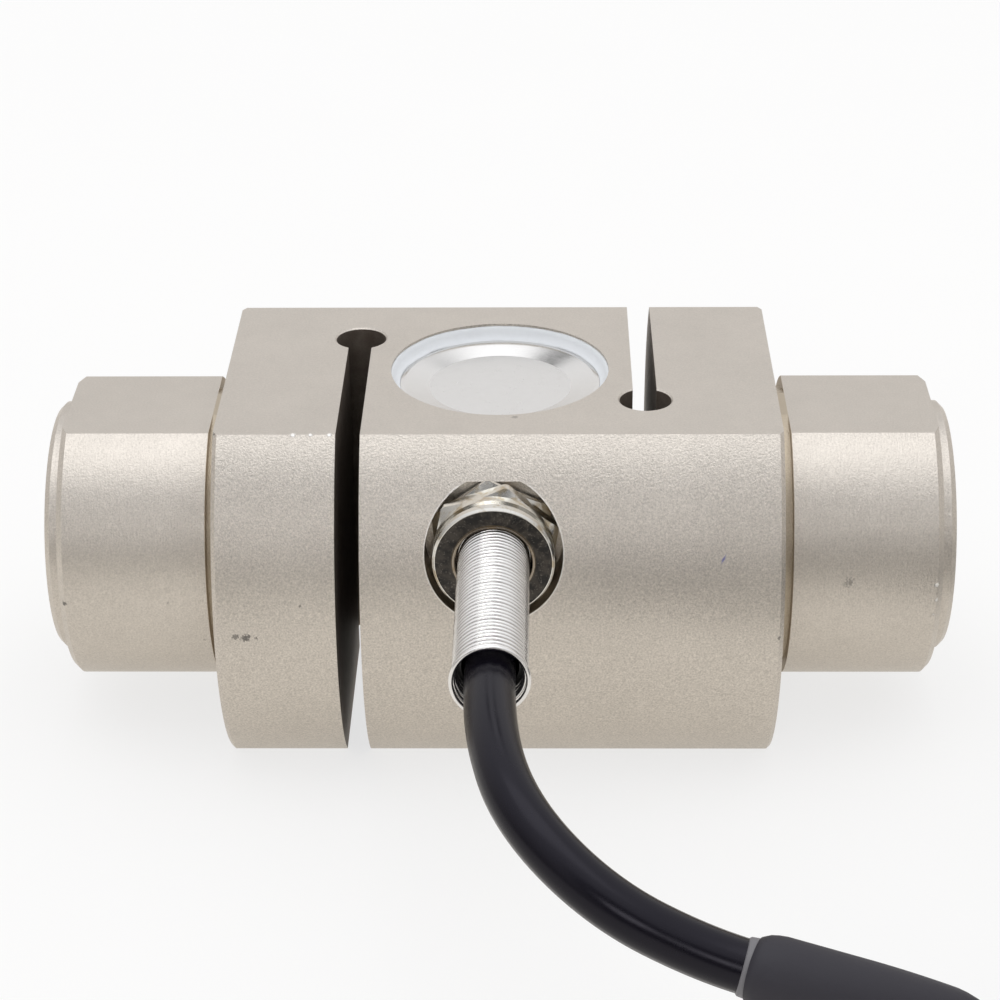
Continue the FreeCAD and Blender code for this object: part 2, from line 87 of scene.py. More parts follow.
lens = bpy.data.cameras.new("camera")
lens.lens = 95.94
lens.sensor_width = 36
lens.clip_start = 0.01
camera = bpy.data.objects.new("camera", lens)
bpy.context.scene.collection.objects.link(camera)
aim = looking.to_track_quat("-Z", "Y").to_matrix().to_4x4()
camera.matrix_world = Matrix.Translation(camera_place) @ aim @ Matrix.Rotation(camera_roll, 4, "Z")
bpy.context.scene.camera = camera
bpy.context.scene.view_settings.view_transform = "Standard"
print("camera: %.1f mm lens, %.0f mm from the cell" % (lens.lens, camera_place.length / MM))

# %% [markdown]
# The cable is one smooth curve: out of the spring, down in a bend to the bench, and into a stored
# coil. It could be drawn by hand as a Bezier curve, but a NURBS curve of order 3 needs only the
# corners of the route and stays inside them, which is how a stiff cable rounds a corner.

# %% Route of the free cable
cable_radius = 3.0
cable_exit = Vector((gland_sideways, spring_mouth, gland_height))
corners = [
    Vector((-0.5, -70.0, 34.3)),
    Vector((2.8, -82.4, 31.7)),
    Vector((11.8, -90.6, 26.3)),
    Vector((23.0, -93.2, 21.3)),
    Vector((33.0, -95.3, 19.4)),
    Vector((44.8, -94.6, 14.9)),
    Vector((57.2, -92.5, 7.8)),
]
print("corners between the spring and the bench:", len(corners))

# %% [markdown]
# The coil is wound four turns wide and three turns high. Each layer keeps one radius for most of a
# turn and steps to the next one over a short stretch, as a hand-wound coil does. The control points
# of a round curve lie a little outside it, so the radius is enlarged to match.

# %% The coil's turns
coil_mean_radius = 36.0
coil_floor = 3.5
turns_wide, turns_high = 4, 3
coil_outer_radius = coil_mean_radius + turns_wide * cable_radius
right_end, back_end = span("cable_coil", 0)[1], span("cable_coil", 1)[1]
coil_centre = Vector((right_end - coil_outer_radius, back_end - coil_outer_radius, 0))
points_per_turn = 12
steps_to_change_turn = 3
entry_angle = -114.0
approach = 39.0
level_run = 10.0
tail_angles = (-114, -84, -54, -28, -8)
tail_end = -2.0
tail_gap = 0.5
tail_height = coil_floor + turns_high * 2 * cable_radius + tail_gap
outside_curve = 1 / math.cos(math.radians(180 / points_per_turn))


def on_coil(radius, degrees, height):
    turn = math.radians(degrees)
    return coil_centre + Vector((radius * math.cos(turn), radius * math.sin(turn), height))


def coil_heading(degrees):
    turn = math.radians(degrees)
    return Vector((-math.sin(turn), math.cos(turn), 0))


def layer_radii():
    """Radius and height of each turn, layer by layer, winding in, out and in again."""
    order = []
    for layer in range(turns_high):
        steps = range(turns_wide)
        for step in steps if layer % 2 == 0 else reversed(steps):
            radius = coil_mean_radius + (turns_wide - 1 - 2 * step) * cable_radius
            order.append((radius, coil_floor + layer * 2 * cable_radius))
    return order


def coil_points():
    order = layer_radii()
    last = (order[-1][0] + cable_radius, tail_height)
    points = []
    for turn, (radius, height) in enumerate(order):
        next_radius, next_height = (order + [last])[turn + 1]
        for step in range(points_per_turn):
            shift = max(0.0, 1 - (points_per_turn - step) / steps_to_change_turn)
            degrees = entry_angle + 360 / points_per_turn * step
            r = radius + (next_radius - radius) * shift
            z = height + (next_height - height) * shift
            points.append(on_coil(r * outside_curve, degrees, z))
    return points


heading = coil_heading(entry_angle)
touch = on_coil(coil_outer_radius - cable_radius, entry_angle, coil_floor)
last_corner = touch - heading * approach
route = [cable_exit] + corners + [last_corner, touch - heading * level_run]
route += coil_points()[1:]
route += [on_coil(coil_mean_radius * outside_curve, a, tail_height) for a in tail_angles]
route += [on_coil(coil_mean_radius, tail_end, tail_height)]
print("route points:", len(route))

# %% [markdown]
# The curve object turns those points into cable. Other pieces need the middle line that it really
# follows, so a second function reads that line from a copy without thickness.

# %% Laying the cable
def laid_curve(name, points, radius):
    """An open NURBS curve through space, as thick as given."""
    data = bpy.data.curves.new(name, "CURVE")
    data.dimensions = "3D"
    data.resolution_u = 12
    data.bevel_depth = radius * MM
    data.bevel_resolution = 6
    data.use_fill_caps = True
    spline = data.splines.new("NURBS")
    spline.points.add(len(points) - 1)
    for point, place in zip(spline.points, points):
        point.co = (*(place * MM), 1)
    spline.order_u = 3
    spline.use_endpoint_u = True
    piece = bpy.data.objects.new(name, data)
    bpy.context.scene.collection.objects.link(piece)
    return piece


def followed(piece):
    """Points along a curve's middle line, in millimetres."""
    bare = piece.data.copy()
    bare.bevel_depth = 0
    holder = bpy.data.objects.new("middle_line", bare)
    mesh = bpy.data.meshes.new_from_object(holder)
    line = [vertex.co / MM for vertex in mesh.vertices]
    bpy.data.objects.remove(holder)
    bpy.data.curves.remove(bare)
    bpy.data.meshes.remove(mesh)
    return line


def length_of(line):
    return sum((b - a).length for a, b in zip(line, line[1:]))


signal_cable = laid_curve("signal_cable", route, cable_radius)
cable_line = followed(signal_cable)
cable_length = length_of(cable_line)
print("free cable: %.0f mm over %d points" % (cable_length, len(cable_line)))

# %% [markdown]
# Some pieces are skins swept along a line or turned about an axis. A short helper makes a mesh from
# rings of points, so that the spring, the threads, the sleeves and the leads all share it.

# %% Mesh helpers
def mesh_piece(name, points, faces, smooth=True):
    """A mesh object from points in millimetres."""
    mesh = bpy.data.meshes.new(name)
    mesh.from_pydata([p * MM for p in points], [], faces)
    mesh.validate()
    piece = bpy.data.objects.new(name, mesh)
    bpy.context.scene.collection.objects.link(piece)
    work = bmesh.new()
    work.from_mesh(mesh)
    bmesh.ops.recalc_face_normals(work, faces=work.faces)
    work.to_mesh(mesh)
    work.free()
    if smooth:
        mesh.shade_smooth()
    return piece


def ring_faces(rings, sides, closed_line=False):
    """Quads between neighbouring rings, with a flat cap at each end of an open line."""
    faces = []
    count = rings if closed_line else rings - 1
    for ring in range(count):
        below, above = ring * sides, (ring + 1) % rings * sides
        for side in range(sides):
            beside = (side + 1) % sides
            faces.append((below + side, below + beside, above + beside, above + side))
    if not closed_line:
        faces.append(tuple(reversed(range(sides))))
        faces.append(tuple(range((rings - 1) * sides, rings * sides)))
    return faces


def frames_along(line, start_up=Vector((0, 0, 1))):
    """A point, a sideways and an up direction at each point, turning as little as possible."""
    frames = []
    up = start_up
    for index, place in enumerate(line):
        ahead = line[min(index + 1, len(line) - 1)] - line[max(index - 1, 0)]
        ahead.normalize()
        up = (up - ahead * up.dot(ahead)).normalized()
        frames.append((place, ahead.cross(up), up))
    return frames


def circle(place, side, up, radius, sides):
    """Points round a place, across the line that passes through it."""
    turns = [2 * math.pi * step / sides for step in range(sides)]
    return [place + (side * math.cos(turn) + up * math.sin(turn)) * radius for turn in turns]


def swept_tube(name, line, radii, sides, start_up=Vector((0, 0, 1))):
    """A tube whose radius may change from point to point."""
    points = []
    for (place, side, up), radius in zip(frames_along(line, start_up), radii):
        points += circle(place, side, up, radius, sides)
    return mesh_piece(name, points, ring_faces(len(line), sides))


print("helpers ready")

# %% [markdown]
# The guard is a close-wound spring of bright round wire. Its last turn is opened slightly so that it
# doesn't cut the cable, and its first turns are trapped in the nut. A tube with grooves would pass
# from afar, but real turns catch the light as separate arcs, so the wire is swept along a helix
# whose turns lie a little unevenly.

# %% Spring guard
spring_radius = 4.5
wire = 0.6
turn_pitch = 0.8
mouth_flare, seat_flare = 0.3, 0.35
flare_starts, flare_ends = 1.5, 0.8
seat_turns = 1.2
wire_end_angle = math.radians(-95)
points_per_coil = 56
spring_start = span("spring_guard", 1)[1]
helix_turns = (spring_start - spring_mouth - wire) / turn_pitch


def spring_line():
    line = []
    steps = int(helix_turns * points_per_coil)
    for step in range(steps + 1):
        turns = step / points_per_coil
        left = helix_turns - turns
        radius = spring_radius - wire / 2
        opening = (flare_starts - left) / (flare_starts - flare_ends)
        radius += mouth_flare * min(1.0, max(0.0, opening))
        radius += seat_flare * max(0.0, 1 - turns / seat_turns)
        angle = 2 * math.pi * (turns - helix_turns) + wire_end_angle
        slack = 0.03 * math.sin(turns * 2.3) + 0.02 * math.sin(turns * 5.1 + 1)
        along = spring_start - wire / 2 - turns * turn_pitch + slack
        radius += 0.012 * math.sin(turns * 1.7)
        across, upward = radius * math.cos(angle), radius * math.sin(angle)
        line.append(Vector((gland_sideways + across, along, gland_height + upward)))
    return line


helix = spring_line()
spring = swept_tube("spring", helix, [wire / 2] * len(helix), sides=10, start_up=Vector((1, 0, 0)))
print("spring turns: %.1f, faces: %d" % (helix_turns, len(spring.data.polygons)))

# %% [markdown]
# Both bosses are tapped. The solids have a plain wall at the thread's outer diameter, so the thread
# itself is added here as a sharp ridge wound along the wall. Cutting it with a boolean would give
# the same look with far more faces.

# %% Threads in the bosses
thread_radius, thread_crest = 12.03, 10.8
thread_pitch = 2.0
thread_length = 23.0
thread_setback = 1.2
ridge_foot_radius, ridge_half_width = 12.04, 0.9
crest_half_width = 0.15
run_out_turns = 0.6
points_per_thread = 72


def thread(name, side):
    """A right-handed ridge with flat crests, wound into the hole from the end face."""
    points = []
    steps = int(thread_length / thread_pitch * points_per_thread)
    mouth = side * (half_length - thread_setback)
    for step in range(steps + 1):
        turns = step / points_per_thread
        turns_left = (steps - step) / points_per_thread
        angle = side * 2 * math.pi * turns
        fade = min(1.0, turns / run_out_turns, turns_left / run_out_turns)
        crest = thread_radius - (thread_radius - thread_crest) * fade
        place = mouth - side * turns * thread_pitch
        profile = (
            (ridge_foot_radius, -ridge_half_width),
            (crest, -crest_half_width),
            (crest, crest_half_width),
            (ridge_foot_radius, ridge_half_width),
        )
        for radius, along in profile:
            across, upward = radius * math.cos(angle), radius * math.sin(angle)
            points.append(Vector((place + along, across, axis_height + upward)))
    return mesh_piece(name, points, ring_faces(steps + 1, len(profile)), smooth=False)


threads = [thread("thread_right", 1), thread("thread_left", -1)]
print("thread faces:", [len(piece.data.polygons) for piece in threads])

# %% [markdown]
# White silicone seals each cover. It fills the gap up to the flat and slopes down to the cover. A
# squeezed bead is never even, so the ring's top and inner edge wander slightly. The profile's second
# value is the depth below the flat, and the same ring is mirrored for the lower cover.

# %% Sealant beads
bore_radius, cover_radius = 14.4, 13.5
bead_foot = 4.9
bead_steps = 144


def bead(name, flip):
    """A soft ring between the cover's skirt and the bore."""
    points = []
    for step in range(bead_steps):
        turn = 2 * math.pi * step / bead_steps
        direction = Vector((math.cos(turn), math.sin(turn), 0))
        wave = noise.noise(direction * 2.1 + Vector((0, 0, 5 if flip else 1)))
        fine = noise.noise(direction * 9.0 + Vector((3, 0, 0)))
        top = 0.32 - 0.08 * wave - 0.03 * fine
        inner = cover_radius - 0.22 - 0.12 * wave - 0.05 * fine
        profile = (
            (cover_radius + 0.02, bead_foot),
            (bore_radius - 0.01, bead_foot),
            (bore_radius - 0.01, top),
            (bore_radius - 0.16, top + 0.16),
            (bore_radius - 0.40, top + 0.62),
            ((bore_radius + inner) / 2, top + 1.10),
            (inner + 0.16, top + 1.48),
            (inner, 1.98),
            (cover_radius - 0.25, 2.01),
            (cover_radius - 0.02, 2.28),
        )
        for radius, depth in profile:
            z = depth if flip else body_top - depth
            points.append(direction * radius + Vector((0, 0, z)))
    return mesh_piece(name, points, ring_faces(bead_steps, len(profile), closed_line=True))


beads = [bead("sealant_bead_top", False), bead("sealant_bead_bottom", True)]
print("bead faces:", [len(piece.data.polygons) for piece in beads])

# %% [markdown]
# A thick shrink sleeve sits on the cable a little way from the spring. It follows the cable's own
# middle line, so it bends with it. Its ends are slightly rounded, the first one is cut a little
# askew, and a thin ring of the glue that lines it stands out of that cut.

# %% Sleeve on the cable
sleeve_radius = 4.25
sleeve_from, sleeve_to = 27.4, 51.6
sleeve_sides = 32
first_stretch = len(cable_line) // 8
end_rounding = (0.75, 0.3, 0.1, 0.0)
cut_slant, slant_reach = 0.7, 6.0
slant_toward = Vector((0.0, -0.886, 0.463))
edge_places = (-2.0, 0.2, 1.0, 1.2)
edge_radii = (3.3, 3.3, 3.22, 3.05)


def between(line, first, last):
    """The part of a line between two places along X."""
    return [p for p in line if first <= p.x <= last]


def sleeve_skin(name, line, inner, outer):
    """A closed sleeve: outside, rounded end, inside and back."""
    frames = frames_along(line)
    along = (line[1] - line[0]).normalized()
    rings = []
    for index, (place, side, up) in enumerate(frames):
        from_end = min(index, len(line) - 1 - index)
        round_off = end_rounding[from_end] if from_end < len(end_rounding) else 0.0
        rings.append((place, side, up, outer - round_off))
    for place, side, up in reversed(frames):
        rings.append((place, side, up, inner))
    points = []
    for place, side, up, radius in rings:
        slant = cut_slant * max(0.0, 1 - (place - line[0]).length / slant_reach)
        for step in range(sleeve_sides):
            turn = 2 * math.pi * step / sleeve_sides
            outward = side * math.cos(turn) + up * math.sin(turn)
            points.append(place - along * slant * outward.dot(slant_toward) + outward * radius)
    return mesh_piece(name, points, ring_faces(len(rings), sleeve_sides, closed_line=True))


sleeve_line = between(cable_line[:first_stretch], sleeve_from, sleeve_to)
shrink_sleeve = sleeve_skin("shrink_sleeve", sleeve_line, cable_radius + 0.01, sleeve_radius)
back_along = (sleeve_line[0] - sleeve_line[1]).normalized()
edge_line = [sleeve_line[0] + back_along * away for away in edge_places]
glued_edge = swept_tube("sleeve_glued_edge", edge_line, edge_radii, sides=sleeve_sides)
print("sleeve length: %.1f mm" % length_of(sleeve_line))

# %% [markdown]
# Two nylon ties hold the coil. Each is a flat strap with rounded corners, closed through a small
# ratchet head, with the tail cut off square. The strap is one outline pushed out to the tie's width.

# %% Coil ties
tie_angles = (60.0, 200.0)
strap_width, strap_flat = 4.0, 0.9
strap_inside = ((23.75, 0.5), (48.05, 18.55), 2.2)
strap_outside = ((23.25, 0.02), (48.55, 19.05), 2.7)
head_depth, head_width, head_height = 3.6, 4.8, 5.4
head_middle, head_from = 10.0, 48.5
head_wall, side_wall = 0.9, 0.6
tail_faces, tail_half_width = (1.3, 1.9), 1.7
tail_below, tail_above = 0.4, 3.2
pawl_half_width, pawl_faces = 1.3, (1.2, 2.2)
edge_softness = 0.12


def rounded_box_outline(low, high, radius, steps=6):
    """Outline of a rectangle with rounded corners. Its points are radius and height."""
    (x0, z0), (x1, z1) = low, high
    centres = [(x1 - radius, z1 - radius, 0), (x0 + radius, z1 - radius, 90)]
    centres += [(x0 + radius, z0 + radius, 180), (x1 - radius, z0 + radius, 270)]
    outline = []
    for x, z, start in centres:
        for step in range(steps + 1):
            turn = math.radians(start + 90 * step / steps)
            outline.append((x + radius * math.cos(turn), z + radius * math.sin(turn)))
    return outline


def strap_points():
    """The strap's four long edges, the outer two drawn in a little."""
    inner = rounded_box_outline(*strap_inside)
    outer = rounded_box_outline(*strap_outside)
    points = []
    for near, far in zip(inner, outer):
        edges = ((near, -1), (far, -strap_flat), (far, strap_flat), (near, 1))
        points += [(radius, side * strap_width / 2, height) for (radius, height), side in edges]
    return points


def add_box(points, faces, low, high):
    """A box with its own eight corners."""
    start = len(points)
    for x in (low[0], high[0]):
        for y in (low[1], high[1]):
            for z in (low[2], high[2]):
                points.append((x, y, z))
    quads = ((0, 1, 3, 2), (4, 6, 7, 5), (0, 4, 5, 1), (2, 3, 7, 6), (0, 2, 6, 4), (1, 5, 7, 3))
    for quad in quads:
        faces.append(tuple(start + corner for corner in quad))


def coil_tie(name, degrees):
    """Strap, the head's four walls, the tail through it and the pawl that holds the tail."""
    points = strap_points()
    faces = ring_faces(len(points) // 4, 4, closed_line=True)
    half = head_width / 2
    near, far = head_from, head_from + head_depth
    top, bottom = head_middle + head_height / 2, head_middle - head_height / 2
    add_box(points, faces, (near, -half, bottom), (near + head_wall, half, top))
    add_box(points, faces, (far - head_wall, -half, bottom), (far, half, top))
    for side in (-1, 1):
        low, high = sorted((side * half, side * (half - side_wall)))
        add_box(points, faces, (near + head_wall, low, bottom), (far - head_wall, high, top))
    front, back = (near + face for face in tail_faces)
    tail_low = (front, -tail_half_width, bottom - tail_below)
    add_box(points, faces, tail_low, (back, tail_half_width, top + tail_above))
    pawl_low = (back, -pawl_half_width, bottom + pawl_faces[0])
    add_box(points, faces, pawl_low, (far - head_wall, pawl_half_width, bottom + pawl_faces[1]))
    turned = Matrix.Rotation(math.radians(degrees), 4, "Z")
    placed = [turned @ Vector(point) + coil_centre for point in points]
    tie = mesh_piece(name, placed, faces, smooth=False)
    soften = tie.modifiers.new("soften", "BEVEL")
    soften.width = edge_softness * MM
    soften.segments = 2
    soften.limit_method = "ANGLE"
    return tie


ties = [coil_tie("tie_%d" % (i + 1), angle) for i, angle in enumerate(tie_angles)]
print("ties:", len(ties))

# %% [markdown]
# At its far end the jacket stops inside a short shrink sleeve. The sleeve follows the jacket, runs
# straight on past its end, and shrinks onto the cores there. A plain tube would look like a cap.

# %% End sleeve
end_sleeve_from, end_sleeve_to = -14.0, 6.0
tail_samples, level_slack = 60, 0.5
straight_steps = 8
snug_radius, cut_radius = 3.5, 3.15
shrunk_by, shrink_run, shrink_shape = 0.55, 3.0, 0.7


def angle_round_coil(place):
    return math.degrees(math.atan2(place.y - coil_centre.y, place.x - coil_centre.x))


def tail_piece(first, last):
    """The jacket's line on the tail between two angles, and straight on past its end."""
    line = [p for p in cable_line[-tail_samples:] if p.z > tail_height - level_slack]
    line = [p for p in line if angle_round_coil(p) > first]
    ahead = coil_heading(tail_end)
    reach = math.radians(last - tail_end) * coil_mean_radius
    steps = range(1, straight_steps + 1)
    line += [line[-1] + ahead * reach * step / straight_steps for step in steps]
    return line


end_line = tail_piece(end_sleeve_from, end_sleeve_to)
end_radii = []
for place in end_line:
    beyond = (place - cable_line[-1]).dot(coil_heading(tail_end))
    shrunk = min(1.0, max(0.0, beyond / shrink_run)) ** shrink_shape
    end_radii.append(snug_radius - shrunk_by * shrunk)
end_radii[0] = cut_radius
end_sleeve = swept_tube("sleeve_at_end", end_line, end_radii, sides=28)
print("end sleeve: %.1f mm" % length_of(end_line))

# %% [markdown]
# Four coloured cores and a bare drain wire leave the jacket, come down onto the coil and fan out,
# each stripped for a terminal. Bare copper is never smooth: it is a twist of fine strands, so each
# tip is seven small helices.

# %% Cores and their strands
core_names = ("red", "black", "green", "white", "drain")
bundle_angles = (162.0, 234.0, 90.0, 306.0, 34.0)
bundle_radius, core_pitch, core_radius, bare_radius = 1.6, 1.6, 0.65, 0.4
landing_angle, strip_angle, core_end_angle = 17.0, 30.0, 38.0
middle_core = 2
straight_out = 5.5
coil_top = tail_height - tail_gap - cable_radius
strand_count, strand_sides, tip_steps = 7, 6, 24
twist_per_mm = 1.1


def core_corners(index, last_angle, thick):
    turn = math.radians(bundle_angles[index])
    spread = coil_mean_radius + (index - middle_core) * core_pitch
    start = on_coil(coil_mean_radius + bundle_radius * math.cos(turn), tail_end, 0)
    start.z = tail_height + bundle_radius * math.sin(turn)
    out = start + coil_heading(tail_end) * straight_out
    height = coil_top + thick
    return [start, out, on_coil(spread, landing_angle, height), on_coil(spread, last_angle, height)]


def strands(name, line, radius):
    """One fine wire along a line and the others twisted round it."""
    fine = radius / 3
    points, faces = [], []
    frames = frames_along(line)
    run = 0.0
    distances = [0.0]
    for a, b in zip(line, line[1:]):
        run += (b - a).length
        distances.append(run)
    for strand in range(strand_count):
        start = len(points)
        offset = 0 if strand == 0 else radius - fine
        for (place, side, up), distance in zip(frames, distances):
            turn = distance * twist_per_mm + 2 * math.pi * strand / (strand_count - 1)
            centre = place + (side * math.cos(turn) + up * math.sin(turn)) * offset
            points += circle(centre, side, up, fine, strand_sides)
        own_faces = ring_faces(len(line), strand_sides)
        faces += [tuple(start + corner for corner in face) for face in own_faces]
    return mesh_piece(name, points, faces)


def finely(a, b, steps):
    return [a.lerp(b, step / steps) for step in range(steps + 1)]


cores, bare_ends = {}, {}
for index, colour in enumerate(core_names):
    insulated = colour != "drain"
    thick = core_radius if insulated else bare_radius
    last = strip_angle if insulated else core_end_angle
    guide = laid_curve("guide", core_corners(index, last, thick), thick)
    line = followed(guide)
    bpy.data.objects.remove(guide)
    if insulated:
        cores[colour] = swept_tube("core_" + colour, line, [thick] * len(line), sides=14)
        spread = coil_mean_radius + (index - middle_core) * core_pitch
        tip = finely(line[-1], on_coil(spread, core_end_angle, line[-1].z), tip_steps)
        bare_ends[colour] = strands("strands_" + colour, tip, bare_radius)
    else:
        bare_ends[colour] = strands("strands_drain", line, bare_radius)
print("cores:", sorted(cores), "bare ends:", sorted(bare_ends))

# %% [markdown]
# Finishes are written as sums. A small class wraps a value inside a material, and Python's own
# operators add the Math nodes. Without it, a finish of thirty nodes takes sixty lines of links and
# nobody can read what it computes.

# %% Shader values that do arithmetic
class Value:
    """A number inside a material. Ordinary operators add its Math nodes."""

    def __init__(self, finish, socket):
        self.finish = finish
        self.socket = socket

    def math(self, operation, *values):
        node = self.finish.node("ShaderNodeMath", {"operation": operation}, dict(enumerate(values)))
        return Value(self.finish, node.outputs[0])

    def __add__(self, other):
        return self.math("ADD", self, other)

    def __radd__(self, other):
        return self.math("ADD", other, self)

    def __sub__(self, other):
        return self.math("SUBTRACT", self, other)

    def __rsub__(self, other):
        return self.math("SUBTRACT", other, self)

    def __mul__(self, other):
        return self.math("MULTIPLY", self, other)

    def __rmul__(self, other):
        return self.math("MULTIPLY", other, self)

    def __truediv__(self, other):
        return self.math("DIVIDE", self, other)

    def __gt__(self, other):
        return self.math("GREATER_THAN", self, other)

    def __lt__(self, other):
        return self.math("LESS_THAN", self, other)

    def __abs__(self):
        return self.math("ABSOLUTE", self)

    def rise(self, low, high):
        """0 below low and 1 above high, with a soft step between."""
        settings = {"interpolation_type": "SMOOTHSTEP"}
        node = self.finish.node("ShaderNodeMapRange", settings, {0: self, 1: low, 2: high})
        return Value(self.finish, node.outputs[0])


# %% Nodes of a material or of the room
class Nodes:
    """Helpers that add nodes to one node tree."""

    def __init__(self, tree):
        self.tree = tree

    def node(self, kind, settings=None, inputs=None):
        """Any node: its settings first, then the values or links of its sockets."""
        node = self.tree.nodes.new(kind)
        for key, value in (settings or {}).items():
            setattr(node, key, value)
        for key, value in (inputs or {}).items():
            self.feed(node.inputs[key], value)
        return node

    def feed(self, socket, value):
        if isinstance(value, Value):
            value = value.socket
        if isinstance(value, bpy.types.NodeSocket):
            self.tree.links.new(value, socket)
        else:
            socket.default_value = value

    def parts(self, vector):
        node = self.node("ShaderNodeSeparateXYZ", None, {0: vector})
        return [Value(self, socket) for socket in node.outputs]

    def join(self, x, y, z):
        return self.node("ShaderNodeCombineXYZ", None, {0: x, 1: y, 2: z}).outputs[0]

    def distance(self, point, vector=None):
        inputs = {0: vector or self.place, 1: point}
        node = self.node("ShaderNodeVectorMath", {"operation": "DISTANCE"}, inputs)
        return Value(self, node.outputs["Value"])

    def noise(self, per_mm, detail=2.0, rough=0.5, vector=None):
        inputs = {"Vector": vector or self.place, "Scale": per_mm, "Detail": detail, "Roughness": rough}
        return Value(self, self.node("ShaderNodeTexNoise", None, inputs).outputs[0])

    def blend(self, factor, first, second):
        """A colour between two colours."""
        inputs = {0: factor, 6: first, 7: second}
        return self.node("ShaderNodeMix", {"data_type": "RGBA"}, inputs).outputs[2]

    def brightened(self, colour, factor):
        """A colour times a number."""
        settings = {"data_type": "RGBA", "blend_type": "MULTIPLY"}
        grey = self.join(factor, factor, factor)
        return self.node("ShaderNodeMix", settings, {0: 1.0, 6: colour, 7: grey}).outputs[2]


# %% A finish
class Finish(Nodes):
    """One material with its principled surface."""

    def __init__(self, name, **constants):
        self.material = bpy.data.materials.new(name)
        self.material.use_nodes = True
        super().__init__(self.material.node_tree)
        self.surface = self.tree.nodes["Principled BSDF"]
        for socket, value in constants.items():
            self.surface.inputs[socket.replace("_", " ")].default_value = value
        coordinates = self.node("ShaderNodeTexCoord")
        self.direction = coordinates.outputs["Normal"]
        inputs = {0: coordinates.outputs["Object"], "Scale": 1 / MM}
        self.place = self.node("ShaderNodeVectorMath", {"operation": "SCALE"}, inputs).outputs[0]

    def bump(self, height, millimetres, strength=1.0):
        inputs = {"Height": height, "Distance": millimetres * MM, "Strength": strength}
        self.feed(self.surface.inputs["Normal"], self.node("ShaderNodeBump", None, inputs).outputs[0])

    def wear(self, **inputs):
        for socket, value in inputs.items():
            self.feed(self.surface.inputs[socket.replace("_", " ")], value)
        return self


def rgb(red, green, blue):
    return (red, green, blue, 1.0)


print("finish helpers ready")


print("finish tools ready")

# %% [markdown]
# The body is one piece of nickel-plated steel. Its barrel was turned, so very fine rings run round
# it, and then blasted, which gives a sparkling grain. The flats were ground and look calmer. The
# walls of the sawn slots are coloured dark brown. Shade is painted in too: the groove before each
# boss and the wall of the gland's recess are darkened to a tan, and a pale ring round the recess's
# edge is a painted highlight. Painting these as separate materials would need cut lines on the
# mesh, so one finish tells the surfaces apart by place and direction.

# %% Body finish
nickel = rgb(0.590, 0.545, 0.490)
# Dark brown for the walls of the sawn slots and their relief holes.
slot_wall_brown = rgb(0.105, 0.078, 0.058)
# A tan painted into the grooves and the gland's recess as shade.
painted_shade_tan = rgb(0.42, 0.335, 0.215)
soot = rgb(0.10, 0.092, 0.080)
ink_blue = rgb(0.10, 0.11, 0.42)
slot_places = ((-18.92, 9.7), (18.92, -9.7))
slot_half_width = 1.62
relief_radius = 3.38
groove_start, groove_end = 36.02, 38.03
recess_wall = 8.8
wall_cut, highlight_cut, tick_cut = -20.0, -24.6, -20.0
# Radii of the pale ring painted round the recess's edge, a painted highlight.
highlight_inner_edge, highlight_outer_edge = (8.70, 8.74), (8.80, 8.92)
ring_stain, stain_radius = (-44.0, -20.0, 25.7), 1.6
tick_x, tick_z, tick_lean = 28.2, 33.8, 0.5

# Each smudge is x, y, z, radius and strength. Each chip is x, y, z and radius, always full strength.
# The chips are real dents, and their near-white colour is a painted glint.
smudges = (
    (-33.2, -30.8, 23.6, 0.45, 0.6),
    (-31.9, -30.8, 23.4, 0.75, 0.8),
    (-30.6, -30.8, 23.5, 0.45, 0.7),
    (45.2, -20.1, 25.4, 0.9, 0.45),
    (-24.9, -30.5, 27.9, 0.35, 0.7),
    (-56.8, -20.1, 22.3, 0.4, 0.8),
    (-36.0, -19.8, 46.8, 0.55, 0.8),
    (2.1, -15.0, 46.8, 0.5, 0.4),
    (35.4, -30.8, 23.5, 0.35, 0.6),
    (-43.1, -20.1, 22.5, 0.3, 0.4),
    (-38.8, -18.8, 16.1, 0.5, 0.4),
)
chips = (
    (-25.8, -20.0, 46.8, 0.45),
    (-23.6, -20.0, 46.8, 0.35),
    (-21.2, -20.0, 46.8, 0.4),
    (56.6, -20.1, 25.1, 0.4),
    (56.7, -20.1, 22.9, 0.35),
    (56.4, -20.1, 20.6, 0.3),
)


def from_gland_axis(f):
    x, _, z = f.parts(f.place)
    return f.distance((gland_sideways, 0.0, gland_height), f.join(x, 0.0, z))


def marks_on(f, marks, ragged):
    """One mask for a row of round marks with ragged edges: x, y, z, radius and strength."""
    total = 0.0
    for *place, radius, strength in marks:
        spot = 1.0 - (f.distance(place) + (ragged - 0.5) * radius * 3.6).rise(radius * 0.4, radius)
        total = total + spot * strength
    return total.math("MINIMUM", total, 1.0)


def cut_faces(f, x, y, nx, nz):
    """The sawn slots' walls and the walls of their relief holes."""
    inside = 0.0
    for slot_x, end_y in slot_places:
        wall = (abs(x - slot_x) < slot_half_width) * (abs(nx) > 0.5)
        from_relief = f.distance((slot_x, end_y, 0.0), f.join(x, y, 0.0))
        relief = (from_relief < relief_radius) * (abs(nz) < 0.3)
        inside = inside + wall + relief
    return inside.math("MINIMUM", inside, 1.0)


def blue_tick(x, y, z):
    """A slanting stroke of marking ink on the barrel's front."""
    leaning = abs(x - tick_x - (z - tick_z) * tick_lean)
    stroke = 1.0 - (leaning + abs(z - tick_z) * 0.35).rise(0.05, 0.3)
    return stroke * (y < tick_cut)


